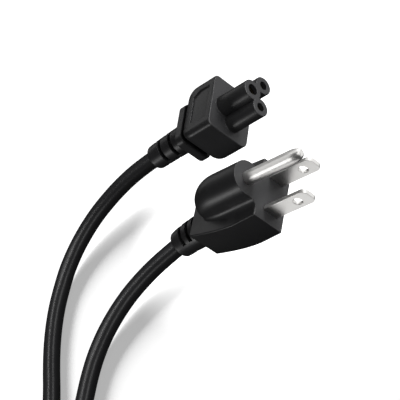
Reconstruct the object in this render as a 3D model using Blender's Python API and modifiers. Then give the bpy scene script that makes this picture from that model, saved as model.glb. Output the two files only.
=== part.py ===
"""Power cord with a cloverleaf connector on one end and a three-pin plug on the other.

Both ends lie on a level floor and point along +Y, with +Z up. The origin is the middle
of the plug's flat underside. The cord runs back from each end, turns towards +X, and its
spare length lies there in a round coil. All sizes are in metres.
"""

import math

import bmesh
import bpy
from mathutils import Matrix, Vector

MM = 0.001

# Clearances between separate pieces
TOUCH_GAP = 0.3 * MM
PIN_CLEARANCE = 0.3 * MM
SLEEVE_CLEARANCE = 0.3 * MM

# How far helper solids reach past a face, and how far united ones sink into each other
OVERSHOOT = 2.0 * MM
SINK = 3.0 * MM

# Cord
CORD_DIAMETER = 6.4 * MM
CORD_RADIUS = CORD_DIAMETER / 2
CORD_STRAIGHT = 4.0 * MM

# Plug body, measured back from its front face
PLUG_LENGTH = 32.0 * MM
PLUG_FACE_HALF_WIDTH = 11.3 * MM
PLUG_WAIST_HALF_WIDTH = 11.9 * MM
PLUG_WAIST_BACK = 9.0 * MM
PLUG_WAIST_REACH = 8.0 * MM
PLUG_TAIL_HALF_WIDTH = 8.4 * MM
PLUG_TAIL_BACK = 31.4 * MM
PLUG_END_HALF_WIDTH = 7.7 * MM
PLUG_THICKNESS = 12.9 * MM
PLUG_EDGE_ROUND = 0.5 * MM

# Blades and ground pin
BLADE_SPACING = 12.7 * MM
BLADE_HEIGHT_ABOVE_FLOOR = 6.0 * MM
BLADE_WIDTH = 6.35 * MM
BLADE_THICKNESS = 1.52 * MM
BLADE_LENGTH = 18.0 * MM
BLADE_TIP_CUT = 1.7 * MM
BLADE_HOLE_RADIUS = 1.7 * MM
BLADE_HOLE_OUT = 12.4 * MM
GROUND_PIN_RISE = 11.9 * MM
GROUND_PIN_RADIUS = 2.35 * MM
GROUND_PIN_LENGTH = 24.2 * MM
GROUND_PIN_TIP = 4.2 * MM
GROUND_PIN_TIP_FLAT = 0.3
GROUND_PIN_HEIGHT = BLADE_HEIGHT_ABOVE_FLOOR + GROUND_PIN_RISE
PIN_ROOT = 7.0 * MM

# Round boss over the ground pin
BOSS_RADIUS = 6.2 * MM
BOSS_STRAIGHT = 13.0 * MM
BOSS_LENGTH = 26.6 * MM
BOSS_FLARE = 2.6 * MM
BOSS_FLARE_RISE = 2.2 * MM
BOSS_SINK = 5.0 * MM
BOSS_FOOT_DROP = 0.2 * MM
BOSS_TAIL_SHARE = 0.25
BOSS_TAIL_END = 84

# Plug strain relief, bent towards +X the way its cord leaves
PLUG_BOOT_LENGTH = 14.0 * MM
PLUG_BOOT_RADIUS = 5.9 * MM
PLUG_BOOT_END_RADIUS = 5.0 * MM
PLUG_BOOT_TURN = math.radians(26)
PLUG_BOOT_SHIFT = 0.8 * MM
FLOOR_GAP = 0.1 * MM
PLUG_BOOT_START = (PLUG_BOOT_SHIFT, -PLUG_LENGTH, PLUG_BOOT_RADIUS + FLOOR_GAP)
PLUG_BOOT = (PLUG_BOOT_START, PLUG_BOOT_LENGTH, PLUG_BOOT_RADIUS, PLUG_BOOT_END_RADIUS, PLUG_BOOT_TURN)
PLUG_SLOTS = 3
PLUG_SLOT_FIRST = 1.3 * MM
PLUG_SLOT_PITCH = 3.7 * MM
PLUG_SLOT_ARC = math.radians(130)

# Connector body, measured back from the face that carries the nose
CONNECTOR_PLACE = (-45.7 * MM, -11.5 * MM)
CONNECTOR_YAW = math.radians(4.2)
BLOCK_HALF_WIDTH = 11.6 * MM
BLOCK_HALF_HEIGHT = 9.5 * MM
BLOCK_STRAIGHT = 9.6 * MM
BLOCK_LENGTH = 15.2 * MM
BLOCK_TAIL_HALF_WIDTH = 7.6 * MM
BLOCK_TAIL_HALF_HEIGHT = 7.4 * MM
BLOCK_TOP_ROUND = 2.2 * MM
BLOCK_BOTTOM_ROUND = 3.2 * MM
BLOCK_EDGE_ROUND = 0.5 * MM
NECK_LENGTH = 1.8 * MM
NECK_HALF_WIDTH = 7.0 * MM
NECK_HALF_HEIGHT = 6.4 * MM
COLLAR_THICKNESS = 3.7 * MM
COLLAR_HALF_WIDTH = 9.0 * MM
COLLAR_HALF_HEIGHT = 7.4 * MM
COLLAR_CORNER = 2.6 * MM
COLLAR_EDGE_ROUND = 0.5 * MM
PANEL_HALF_WIDTH = 7.6 * MM
PANEL_FRONT = 2.2 * MM
PANEL_BACK = 10.6 * MM
PANEL_DEPTH = 0.5 * MM
PANEL_CORNER_CUT = 3.2 * MM
PANEL_CUT_SHARE = 0.6

# Connector nose and its holes; heights are from the block's middle
NOSE_LENGTH = 14.3 * MM
LIVE_SPACING = 10.0 * MM
LIVE_DROP = 1.3 * MM
EARTH_RISE = 3.25 * MM
LIVE_LOBE_RADIUS = 3.5 * MM
EARTH_LOBE_RADIUS = 3.95 * MM
LIVE_HOLE_RADIUS = 1.6 * MM
EARTH_HOLE_RADIUS = 2.05 * MM
NOSE_WEB_RISE = 1.05 * MM
NOSE_WEB_TOP_SHARE = 0.45
NOSE_WEB_SETBACK = 0.01 * MM
HOLE_DEPTH = 13.0 * MM
SLEEVE_WALL = 0.4 * MM
SLEEVE_SETBACK = 2.0 * MM
SLEEVE_LENGTH = 9.0 * MM

# Connector strain relief: long slots on two sides, short ones between them
BOOT_LENGTH = 19.6 * MM
BOOT_RADIUS = 5.3 * MM
BOOT_END_RADIUS = 4.7 * MM
BOOT_START = (0.0, -BLOCK_LENGTH - NECK_LENGTH - COLLAR_THICKNESS, 0.0)
CONNECTOR_BOOT = (BOOT_START, BOOT_LENGTH, BOOT_RADIUS, BOOT_END_RADIUS, 0.0)
BOOT_SLOT_PAIRS = 2
BOOT_SLOT_FIRST = 6.9 * MM
BOOT_SLOT_PITCH = 5.6 * MM
BOOT_SLOT_ANGLE = math.radians(45)
BOOT_SLOT_ARC = math.radians(124)
BOOT_NOTCH_ARC = math.radians(52)

# Both strain reliefs
SLOT_WIDTH = 1.6 * MM
SLOT_DEPTH = 1.5 * MM
BOOT_END_ROUND = 1.3 * MM
BOOT_SIDES = 32

# Coil of spare cord
COIL_CENTRE = (130.0 * MM, -41.0 * MM)
COIL_MEAN_RADIUS = 35.0 * MM
COIL_LANES = 4.375
COIL_LAYERS = 2
COIL_EDGE_CUT = 1.6 * MM

# Route of the cord behind the plug's strain relief, then behind the connector's, in
# millimetres: x, y and height of its axis. Each one's start comes from its strain relief.
PLUG_ROUTE = [
    (9.3, -47.4, 4.9),
    (14.6, -55.6, 3.9),
    (21.4, -62.6, 3.2),
    (28.9, -66.4, 3.2),
    (36.4, -68.3, 3.2),
    (44.2, -69.1, 3.2),
    (52.5, -69.1, 3.2),
    (58.5, -68.9, 3.2),
    (64.6, -67.7, 3.2),
    (70.3, -65.1, 3.2),
    (75.4, -61.3, 3.2),
    (80.9, -54.2, 3.2),
]
CONNECTOR_ROUTE = [
    (-41.8, -63.0, 8.6),
    (-41.2, -70.8, 6.9),
    (-39.9, -77.9, 5.3),
    (-36.9, -84.6, 4.0),
    (-31.9, -91.6, 3.3),
    (-25.1, -97.2, 3.2),
    (-16.9, -100.7, 3.2),
    (-8.3, -102.2, 3.2),
    (0.7, -102.3, 3.2),
    (9.9, -101.2, 3.2),
    (19.2, -99.1, 3.2),
    (28.5, -96.3, 3.2),
    (37.8, -93.2, 3.2),
    (46.5, -90.9, 3.2),
    (55.5, -89.1, 3.2),
    (66.0, -87.8, 3.6),
    (77.0, -87.1, 4.5),
    (88.0, -86.8, 5.7),
    (96.5, -86.8, 6.8),
    (105.0, -86.8, 7.8),
]


# Faces that meet at less than this angle are shaded as one smooth surface
SMOOTH_ANGLE = math.radians(32)


def clear_scene():
    for obj in list(bpy.data.objects):
        bpy.data.objects.remove(obj, do_unlink=True)


def new_collection(name):
    collection = bpy.data.collections.new(name)
    bpy.context.scene.collection.children.link(collection)
    return collection


def make_material(name, colour, roughness, metallic=0.0):
    material = bpy.data.materials.new(name)
    material.use_nodes = True
    shader = material.node_tree.nodes["Principled BSDF"]
    shader.inputs["Base Color"].default_value = (*colour, 1.0)
    shader.inputs["Roughness"].default_value = roughness
    shader.inputs["Metallic"].default_value = metallic
    return material


clear_scene()
PARTS = new_collection("cloverleaf_power_cord")
HELPERS = new_collection("helpers")
PVC = make_material("black_pvc", (0.018, 0.018, 0.019), 0.45)
JACKET = make_material("black_jacket", (0.016, 0.016, 0.017), 0.4)
NICKEL = make_material("nickel_plate", (0.72, 0.71, 0.69), 0.22, 1.0)
BRASS = make_material("brass_sleeve", (0.72, 0.55, 0.25), 0.3, 1.0)


def smoothing_group():
    """Node group that shades faces smooth and keeps the edges sharp that bend further."""
    group = bpy.data.node_groups.new("smooth_by_angle", "GeometryNodeTree")
    group.interface.new_socket("Geometry", in_out="INPUT", socket_type="NodeSocketGeometry")
    group.interface.new_socket("Geometry", in_out="OUTPUT", socket_type="NodeSocketGeometry")
    nodes = group.nodes
    entry = nodes.new("NodeGroupInput")
    leave = nodes.new("NodeGroupOutput")
    faces = nodes.new("GeometryNodeSetShadeSmooth")
    faces.domain = "FACE"
    edges = nodes.new("GeometryNodeSetShadeSmooth")
    edges.domain = "EDGE"
    edges.inputs["Shade Smooth"].default_value = False
    bend = nodes.new("GeometryNodeInputMeshEdgeAngle")
    limit = nodes.new("FunctionNodeCompare")
    limit.inputs["B"].default_value = SMOOTH_ANGLE
    group.links.new(entry.outputs[0], faces.inputs["Geometry"])
    group.links.new(faces.outputs[0], edges.inputs["Geometry"])
    group.links.new(bend.outputs["Unsigned Angle"], limit.inputs["A"])
    group.links.new(limit.outputs["Result"], edges.inputs["Selection"])
    group.links.new(edges.outputs[0], leave.inputs[0])
    return group


SMOOTHING = smoothing_group()


def shade_round(obj):
    """Added after the last boolean of a piece, so its cut edges stay sharp too."""
    modifier = obj.modifiers.new("smooth_by_angle", "NODES")
    modifier.node_group = SMOOTHING


def add_object(name, mesh, parent=None, helper=False, material=None):
    obj = bpy.data.objects.new(name, mesh)
    (HELPERS if helper else PARTS).objects.link(obj)
    obj.parent = parent
    if helper:
        obj.hide_render = True
        obj.display_type = "WIRE"
    if material is not None:
        mesh.materials.append(material)
    return obj


def add_empty(name, location, yaw):
    empty = bpy.data.objects.new(name, None)
    empty.location = location
    empty.rotation_euler = (0.0, 0.0, yaw)
    PARTS.objects.link(empty)
    return empty


def mesh_from(name, bm):
    bmesh.ops.recalc_face_normals(bm, faces=bm.faces)
    mesh = bpy.data.meshes.new(name)
    bm.to_mesh(mesh)
    bm.free()
    return mesh


def loft_mesh(name, rings):
    """One closed skin through rings that hold the same number of points."""
    bm = bmesh.new()
    loops = [[bm.verts.new(point) for point in ring] for ring in rings]
    count = len(rings[0])
    for near, far in zip(loops, loops[1:]):
        for i in range(count):
            j = (i + 1) % count
            bm.faces.new((near[i], near[j], far[j], far[i]))
    bm.faces.new(loops[0])
    bm.faces.new(reversed(loops[-1]))
    return mesh_from(name, bm)


def cylinder_mesh(name, radius, start_y, end_y, x=0.0, z=0.0, sides=32):
    """A cylinder along Y between two depths."""
    bm = bmesh.new()
    turn = Matrix.Rotation(math.radians(-90), 4, "X")
    place = Matrix.Translation((x, (start_y + end_y) / 2, z)) @ turn
    bmesh.ops.create_cone(
        bm,
        cap_ends=True,
        segments=sides,
        radius1=radius,
        radius2=radius,
        depth=end_y - start_y,
        matrix=place,
    )
    return mesh_from(name, bm)


def box_mesh(name, low, high):
    bm = bmesh.new()
    size = Vector(high) - Vector(low)
    middle = (Vector(high) + Vector(low)) / 2
    place = Matrix.Translation(middle) @ Matrix.Diagonal((*size, 1.0))
    bmesh.ops.create_cube(bm, size=1.0, matrix=place)
    return mesh_from(name, bm)


def outline_mesh(name, points, thickness, edge_round=0.0, edge_steps=2):
    """A flat outline in X and Y, extruded up from z = 0, with rounded edges."""
    curve = bpy.data.curves.new(name, "CURVE")
    curve.dimensions = "2D"
    curve.fill_mode = "BOTH"
    curve.extrude = thickness / 2 - edge_round
    curve.bevel_depth = edge_round
    curve.bevel_resolution = edge_steps
    curve.offset = -edge_round
    spline = curve.splines.new("POLY")
    spline.points.add(len(points) - 1)
    for slot, (x, y) in zip(spline.points, points):
        slot.co = (x, y, 0.0, 1.0)
    spline.use_cyclic_u = True
    source = bpy.data.objects.new(name + "_outline", curve)
    PARTS.objects.link(source)
    bpy.context.view_layer.update()
    graph = bpy.context.evaluated_depsgraph_get()
    mesh = bpy.data.meshes.new_from_object(source.evaluated_get(graph))
    bpy.data.objects.remove(source, do_unlink=True)
    bpy.data.curves.remove(curve)
    bm = bmesh.new()
    bm.from_mesh(mesh)
    bpy.data.meshes.remove(mesh)
    bmesh.ops.remove_doubles(bm, verts=bm.verts, dist=0.001 * MM)
    bmesh.ops.translate(bm, verts=bm.verts, vec=(0.0, 0.0, thickness / 2))
    return mesh_from(name, bm)


def boolean(target, helper, operation):
    modifier = target.modifiers.new(operation.lower() + "_" + helper.name, "BOOLEAN")
    modifier.operation = operation
    modifier.solver = "EXACT"
    modifier.object = helper


def rounded_rectangle(half_width, half_height, radii, y, steps=4):
    """Ring in X and Z at a depth y. radii: top right, top left, bottom left, bottom right."""
    corners = [(1, 1), (-1, 1), (-1, -1), (1, -1)]
    ring = []
    for quarter, ((side, up), radius) in enumerate(zip(corners, radii)):
        centre_x = side * (half_width - radius)
        centre_z = up * (half_height - radius)
        for step in range(steps + 1):
            angle = math.radians(90 * (quarter + step / steps))
            x = centre_x + radius * math.cos(angle)
            z = centre_z + radius * math.sin(angle)
            ring.append((x, y, z))
    return ring


def plug_outline():
    """Plan of the plug's base, from its face at y = 0 back to the strain relief."""
    waist = Vector((PLUG_WAIST_HALF_WIDTH, -PLUG_WAIST_BACK))
    bend = Vector((PLUG_WAIST_HALF_WIDTH, -PLUG_WAIST_BACK - PLUG_WAIST_REACH))
    tail = Vector((PLUG_TAIL_HALF_WIDTH, -PLUG_TAIL_BACK))
    right = [(PLUG_FACE_HALF_WIDTH, 0.0), tuple(waist)]
    steps = 8
    for step in range(1, steps + 1):
        t = step / steps
        point = waist * (1 - t) ** 2 + bend * (2 * t * (1 - t)) + tail * t**2
        right.append(tuple(point))
    right.append((PLUG_END_HALF_WIDTH, -PLUG_LENGTH))
    left = [(-x, y) for x, y in reversed(right)]
    return right + left


def boss_ring(back):
    """Section of the boss at a share of its rounded tail: a round top that flares into the base."""
    y = -BOSS_STRAIGHT - (BOSS_LENGTH - BOSS_STRAIGHT) * back
    shrink = math.sqrt(1 - back * back)
    foot = PLUG_THICKNESS - BOSS_FOOT_DROP
    top = GROUND_PIN_HEIGHT + BOSS_RADIUS
    crown = foot + (top - foot) * shrink
    half = BOSS_RADIUS * (BOSS_TAIL_SHARE + (1 - BOSS_TAIL_SHARE) * shrink)
    middle = max(crown - half, foot + 2 * BOSS_FOOT_DROP)
    crown = max(crown, middle + BOSS_FOOT_DROP)
    ring = []
    steps = 12
    for step in range(steps + 1):
        angle = math.pi * step / steps
        ring.append((half * math.cos(angle), y, middle + (crown - middle) * math.sin(angle)))
    flare = BOSS_FLARE * shrink
    rise = min(BOSS_FLARE_RISE * shrink + BOSS_FOOT_DROP, middle - foot - BOSS_FOOT_DROP)
    left = []
    steps = 4
    for step in range(steps + 1):
        angle = math.radians(90) * step / steps
        out = half + flare * (1 - math.cos(angle))
        left.append((-out, y, foot + rise * (1 - math.sin(angle))))
    left.append((-half - flare, y, PLUG_THICKNESS - BOSS_SINK))
    right = [(-x, y, z) for x, y, z in reversed(left)]
    return ring + left + right


def boss_mesh():
    front = [(x, 0.0, z) for x, _, z in boss_ring(0.0)]
    steps = 10
    tail = [boss_ring(math.sin(math.radians(BOSS_TAIL_END * i / steps))) for i in range(steps + 1)]
    return loft_mesh("plug_boss", [front, *tail])


def boot_place(start, length, turn, along):
    """Point and heading on the axis of a strain relief, a distance along from its start."""
    heading = turn * max(0.0, along) / length
    if heading < 1e-6:
        return Vector((start[0], start[1] - along, start[2])), 0.0
    bend = length / turn
    x = start[0] + bend * (1 - math.cos(heading))
    y = start[1] - bend * math.sin(heading)
    return Vector((x, y, start[2])), heading


def boot_ring(start, length, turn, along, points):
    """Ring of points given across and above the axis, square to it at a distance along."""
    centre, heading = boot_place(start, length, turn, along)
    side = Vector((math.cos(heading), math.sin(heading), 0.0))
    return [tuple(centre + side * across + Vector((0.0, 0.0, up))) for across, up in points]


def boot_mesh(name, start, length, radius, end_radius, turn):
    """Strain relief that tapers towards the cord, with a rounded end."""
    rounding = []
    for angle in (0, 30, 60, 90):
        drop = BOOT_END_ROUND * (1 - math.cos(math.radians(angle)))
        ahead = BOOT_END_ROUND * (1 - math.sin(math.radians(angle)))
        rounding.append((length - ahead, end_radius - drop))
    stations = [(-SINK, radius), (0.0, radius)]
    steps = 4
    for i in range(1, steps):
        share = i / steps
        stations.append((length * share, radius + (end_radius - radius) * share))
    rings = []
    for along, size in stations + rounding:
        angles = [2 * math.pi * i / BOOT_SIDES for i in range(BOOT_SIDES)]
        points = [(size * math.cos(angle), size * math.sin(angle)) for angle in angles]
        rings.append(boot_ring(start, length, turn, along, points))
    return loft_mesh(name, rings)


def slot_mesh(name, start, length, turn, along, radius, angle, arc):
    """An arc-shaped cutter that opens one slot in a strain relief."""
    inner = radius - SLOT_DEPTH
    outer = radius + OVERSHOOT
    steps = 10
    angles = [angle - arc / 2 + arc * i / steps for i in range(steps + 1)]
    outline = [(outer * math.cos(a), outer * math.sin(a)) for a in angles]
    outline += [(inner * math.cos(a), inner * math.sin(a)) for a in reversed(angles)]
    ends = (along - SLOT_WIDTH / 2, along + SLOT_WIDTH / 2)
    return loft_mesh(name, [boot_ring(start, length, turn, end, outline) for end in ends])


def cut_slots(body, frame, boot, slots):
    """Opens the named slots, each a label, a distance along, an angle and an arc."""
    start, length, radius, end_radius, turn = boot
    for label, along, angle, arc in slots:
        size = radius + (end_radius - radius) * along / length
        mesh = slot_mesh(label, start, length, turn, along, size, angle, arc)
        boolean(body, add_object(label, mesh, frame, helper=True), "DIFFERENCE")


def build_plug(frame):
    outline = outline_mesh("plug_body", plug_outline(), PLUG_THICKNESS, PLUG_EDGE_ROUND)
    body = add_object("plug_body", outline, frame, material=PVC)
    boolean(body, add_object("plug_boss", boss_mesh(), frame, helper=True), "UNION")
    boolean(body, add_object("plug_boot", boot_mesh("plug_boot", *PLUG_BOOT), frame, helper=True), "UNION")
    slots = []
    for i in range(PLUG_SLOTS):
        along = PLUG_SLOT_FIRST + i * PLUG_SLOT_PITCH
        slots.append((f"plug_slot_top_{i + 1}", along, math.radians(90), PLUG_SLOT_ARC))
        slots.append((f"plug_slot_bottom_{i + 1}", along, math.radians(270), PLUG_SLOT_ARC))
    cut_slots(body, frame, PLUG_BOOT, slots)
    build_blade(body, frame, "blade_line", -BLADE_SPACING / 2)
    build_blade(body, frame, "blade_neutral", BLADE_SPACING / 2)
    build_ground_pin(body, frame)
    shade_round(body)


def build_blade(body, frame, name, x):
    """A flat blade on edge, in a pocket of the plug's face."""
    half = BLADE_THICKNESS / 2
    low = BLADE_HEIGHT_ABOVE_FLOOR - BLADE_WIDTH / 2
    high = BLADE_HEIGHT_ABOVE_FLOOR + BLADE_WIDTH / 2
    gap = PIN_CLEARANCE
    near = (x - half - gap, -PIN_ROOT - gap, low - gap)
    far = (x + half + gap, OVERSHOOT, high + gap)
    pocket = add_object(name + "_pocket", box_mesh(name + "_pocket", near, far), frame, helper=True)
    boolean(body, pocket, "DIFFERENCE")
    outline = [
        (-PIN_ROOT, low),
        (BLADE_LENGTH - BLADE_TIP_CUT, low),
        (BLADE_LENGTH, low + BLADE_TIP_CUT),
        (BLADE_LENGTH, high - BLADE_TIP_CUT),
        (BLADE_LENGTH - BLADE_TIP_CUT, high),
        (-PIN_ROOT, high),
    ]
    rings = [[(x + edge, y, z) for y, z in outline] for edge in (-half, half)]
    blade = add_object(name, loft_mesh(name, rings), frame, material=NICKEL)
    hole = cylinder_mesh(name + "_hole", BLADE_HOLE_RADIUS, -OVERSHOOT, OVERSHOOT, sides=24)
    hole.transform(Matrix.Rotation(math.radians(90), 4, "Z"))
    hole.transform(Matrix.Translation((x, BLADE_HOLE_OUT, BLADE_HEIGHT_ABOVE_FLOOR)))
    boolean(blade, add_object(name + "_hole", hole, frame, helper=True), "DIFFERENCE")
    shade_round(blade)


def build_ground_pin(body, frame):
    """A round pin with a rounded tip, in a bore of the boss."""
    radius = GROUND_PIN_RADIUS + PIN_CLEARANCE
    bore = cylinder_mesh("ground_bore", radius, -PIN_ROOT - PIN_CLEARANCE, OVERSHOOT, z=GROUND_PIN_HEIGHT)
    boolean(body, add_object("ground_bore", bore, frame, helper=True), "DIFFERENCE")
    stations = [(-PIN_ROOT, 1.0)]
    steps = 5
    for i in range(steps + 1):
        angle = math.radians(90) * i / steps
        size = GROUND_PIN_TIP_FLAT + (1 - GROUND_PIN_TIP_FLAT) * math.cos(angle)
        stations.append((GROUND_PIN_LENGTH - GROUND_PIN_TIP * (1 - math.sin(angle)), size))
    sides = 24
    rings = []
    for y, size in stations:
        ring = []
        for i in range(sides):
            angle = 2 * math.pi * i / sides
            across = GROUND_PIN_RADIUS * size * math.cos(angle)
            up = GROUND_PIN_RADIUS * size * math.sin(angle)
            ring.append((across, y, GROUND_PIN_HEIGHT + up))
        rings.append(ring)
    shade_round(add_object("ground_pin", loft_mesh("ground_pin", rings), frame, material=NICKEL))


def panel_outline():
    """Plan of the recessed panel, parallel to the block's own outline."""
    half = PANEL_HALF_WIDTH
    cut = PANEL_CORNER_CUT * PANEL_CUT_SHARE
    return [
        (half, -PANEL_FRONT),
        (half, -PANEL_BACK + PANEL_CORNER_CUT),
        (half - cut, -PANEL_BACK),
        (-half + cut, -PANEL_BACK),
        (-half, -PANEL_BACK + PANEL_CORNER_CUT),
        (-half, -PANEL_FRONT),
    ]


def block_rings():
    """Sections of the block from its face back over the round shoulder and the neck."""
    radii = (BLOCK_TOP_ROUND, BLOCK_TOP_ROUND, BLOCK_BOTTOM_ROUND, BLOCK_BOTTOM_ROUND)
    small = tuple(radius - BLOCK_EDGE_ROUND for radius in radii)
    face_width = BLOCK_HALF_WIDTH - BLOCK_EDGE_ROUND
    face_height = BLOCK_HALF_HEIGHT - BLOCK_EDGE_ROUND
    rings = [
        rounded_rectangle(face_width, face_height, small, 0.0),
        rounded_rectangle(BLOCK_HALF_WIDTH, BLOCK_HALF_HEIGHT, radii, -BLOCK_EDGE_ROUND),
    ]
    steps = 5
    for i in range(steps + 1):
        angle = math.radians(90) * i / steps
        depth = -BLOCK_STRAIGHT - (BLOCK_LENGTH - BLOCK_STRAIGHT) * math.sin(angle)
        width = BLOCK_TAIL_HALF_WIDTH + (BLOCK_HALF_WIDTH - BLOCK_TAIL_HALF_WIDTH) * math.cos(angle)
        height = BLOCK_TAIL_HALF_HEIGHT + (BLOCK_HALF_HEIGHT - BLOCK_TAIL_HALF_HEIGHT) * math.cos(angle)
        rings.append(rounded_rectangle(width, height, radii, depth))
    return rings


def collar_rings():
    """Sections of the neck behind the block's shoulder, then of the collar."""
    radii = (COLLAR_CORNER,) * 4
    small = (COLLAR_CORNER - COLLAR_EDGE_ROUND,) * 4
    inner_width = COLLAR_HALF_WIDTH - COLLAR_EDGE_ROUND
    inner_height = COLLAR_HALF_HEIGHT - COLLAR_EDGE_ROUND
    front = -BLOCK_LENGTH - NECK_LENGTH
    back = front - COLLAR_THICKNESS
    return [
        rounded_rectangle(NECK_HALF_WIDTH, NECK_HALF_HEIGHT, small, -BLOCK_LENGTH + SINK),
        rounded_rectangle(NECK_HALF_WIDTH, NECK_HALF_HEIGHT, small, front),
        rounded_rectangle(inner_width, inner_height, small, front),
        rounded_rectangle(COLLAR_HALF_WIDTH, COLLAR_HALF_HEIGHT, radii, front - COLLAR_EDGE_ROUND),
        rounded_rectangle(COLLAR_HALF_WIDTH, COLLAR_HALF_HEIGHT, radii, back + COLLAR_EDGE_ROUND),
        rounded_rectangle(inner_width, inner_height, small, back),
    ]


def build_connector(frame):
    body = add_object("connector_body", loft_mesh("connector_body", block_rings()), frame, material=PVC)
    collar = add_object("connector_collar", loft_mesh("connector_collar", collar_rings()), frame, helper=True)
    boolean(body, collar, "UNION")
    boot = add_object("connector_boot", boot_mesh("connector_boot", *CONNECTOR_BOOT), frame, helper=True)
    boolean(body, boot, "UNION")
    slots = []
    quarter = math.radians(90)
    for i in range(BOOT_SLOT_PAIRS):
        along = BOOT_SLOT_FIRST + i * BOOT_SLOT_PITCH
        between = along + BOOT_SLOT_PITCH / 2
        slots.append((f"connector_slot_near_{i + 1}", along, BOOT_SLOT_ANGLE, BOOT_SLOT_ARC))
        slots.append((f"connector_slot_far_{i + 1}", along, BOOT_SLOT_ANGLE + 2 * quarter, BOOT_SLOT_ARC))
        slots.append((f"connector_notch_top_{i + 1}", between, BOOT_SLOT_ANGLE + quarter, BOOT_NOTCH_ARC))
        slots.append((f"connector_notch_low_{i + 1}", between, BOOT_SLOT_ANGLE - quarter, BOOT_NOTCH_ARC))
    cut_slots(body, frame, CONNECTOR_BOOT, slots)
    half = LIVE_SPACING / 2
    poles = [
        ("line", -half, -LIVE_DROP, LIVE_LOBE_RADIUS, LIVE_HOLE_RADIUS),
        ("neutral", half, -LIVE_DROP, LIVE_LOBE_RADIUS, LIVE_HOLE_RADIUS),
        ("earth", 0.0, EARTH_RISE, EARTH_LOBE_RADIUS, EARTH_HOLE_RADIUS),
    ]
    for pole, x, z, radius, _ in poles:
        name = "nose_lobe_" + pole
        lobe = cylinder_mesh(name, radius, -OVERSHOOT, NOSE_LENGTH, x=x, z=z)
        boolean(body, add_object(name, lobe, frame, helper=True), "UNION")
    low = -LIVE_DROP + NOSE_WEB_RISE
    web = [
        (-half, low),
        (half, low),
        (half * NOSE_WEB_TOP_SHARE, EARTH_RISE),
        (-half * NOSE_WEB_TOP_SHARE, EARTH_RISE),
    ]
    rings = [[(x, y, z) for x, z in web] for y in (-OVERSHOOT, NOSE_LENGTH - NOSE_WEB_SETBACK)]
    boolean(body, add_object("nose_web", loft_mesh("nose_web", rings), frame, helper=True), "UNION")
    panel = outline_mesh("panel_recess", panel_outline(), PANEL_DEPTH + OVERSHOOT)
    panel.transform(Matrix.Translation((0.0, 0.0, BLOCK_HALF_HEIGHT - PANEL_DEPTH)))
    boolean(body, add_object("panel_recess", panel, frame, helper=True), "DIFFERENCE")
    for pole, x, z, _, hole in poles:
        build_contact(body, frame, pole, x, z, hole)
    shade_round(body)


def build_contact(body, frame, pole, x, z, radius):
    """One hole of the nose and the metal sleeve that sits in it."""
    name = "contact_" + pole
    hole = cylinder_mesh(name + "_hole", radius, NOSE_LENGTH - HOLE_DEPTH, NOSE_LENGTH + OVERSHOOT, x=x, z=z)
    boolean(body, add_object(name + "_hole", hole, frame, helper=True), "DIFFERENCE")
    cavity = radius + SLEEVE_WALL
    outer = cavity - SLEEVE_CLEARANCE
    end = NOSE_LENGTH - SLEEVE_SETBACK
    start = end - SLEEVE_LENGTH
    near = start - SLEEVE_CLEARANCE
    far = end + SLEEVE_CLEARANCE
    room = cylinder_mesh(name + "_room", cavity, near, far, x=x, z=z)
    boolean(body, add_object(name + "_room", room, frame, helper=True), "DIFFERENCE")
    tube = cylinder_mesh(name, outer, start, end, x=x, z=z, sides=24)
    sleeve = add_object(name, tube, frame, material=BRASS)
    inner = outer - SLEEVE_WALL
    bore = cylinder_mesh(name + "_bore", inner, start - OVERSHOOT, end + OVERSHOOT, x=x, z=z, sides=24)
    boolean(sleeve, add_object(name + "_bore", bore, frame, helper=True), "DIFFERENCE")
    shade_round(sleeve)


def smooth_route(nodes, spacing):
    """Evenly spaced points on a smooth curve through the route's own points."""
    ends = [nodes[0] * 2 - nodes[1], *nodes, nodes[-1] * 2 - nodes[-2]]
    steps = 12
    fine = []
    for a, b, c, d in zip(ends, ends[1:], ends[2:], ends[3:]):
        for step in range(steps):
            t = step / steps
            point = b * 2 + (c - a) * t + (a * 2 - b * 5 + c * 4 - d) * t**2 + (b * 3 - a - c * 3 + d) * t**3
            fine.append(point / 2)
    fine.append(nodes[-1])
    lengths = [0.0]
    for a, b in zip(fine, fine[1:]):
        lengths.append(lengths[-1] + (b - a).length)
    count = max(2, round(lengths[-1] / spacing))
    route = []
    k = 0
    for i in range(count + 1):
        target = lengths[-1] * i / count
        while k < len(fine) - 2 and lengths[k + 1] < target:
            k += 1
        share = (target - lengths[k]) / (lengths[k + 1] - lengths[k])
        route.append(fine[k].lerp(fine[k + 1], min(1.0, share)))
    return route


def cord_start(frame_place, yaw, boot):
    """First two points of a cord: just clear of its strain relief, then straight on from it."""
    start, length, _, _, turn = boot
    end, heading = boot_place(start, length, turn, length)
    away = Vector((math.sin(heading), -math.cos(heading), 0.0))
    place = Matrix.Translation(frame_place) @ Matrix.Rotation(yaw, 4, "Z")
    return [place @ (end + away * reach) for reach in (TOUCH_GAP, TOUCH_GAP + CORD_STRAIGHT)]


def build_tube(name, start, points):
    curve = bpy.data.curves.new(name, "CURVE")
    curve.dimensions = "3D"
    curve.bevel_depth = CORD_RADIUS
    curve.bevel_resolution = 3
    curve.use_fill_caps = True
    nodes = start + [Vector(point) * MM for point in points]
    route = [start[0]] + smooth_route(nodes[1:], 2 * CORD_DIAMETER)
    spline = curve.splines.new("POLY")
    spline.points.add(len(route) - 1)
    for slot, point in zip(spline.points, route):
        slot.co = (*point, 1.0)
    add_object(name, curve, material=JACKET)


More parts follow.
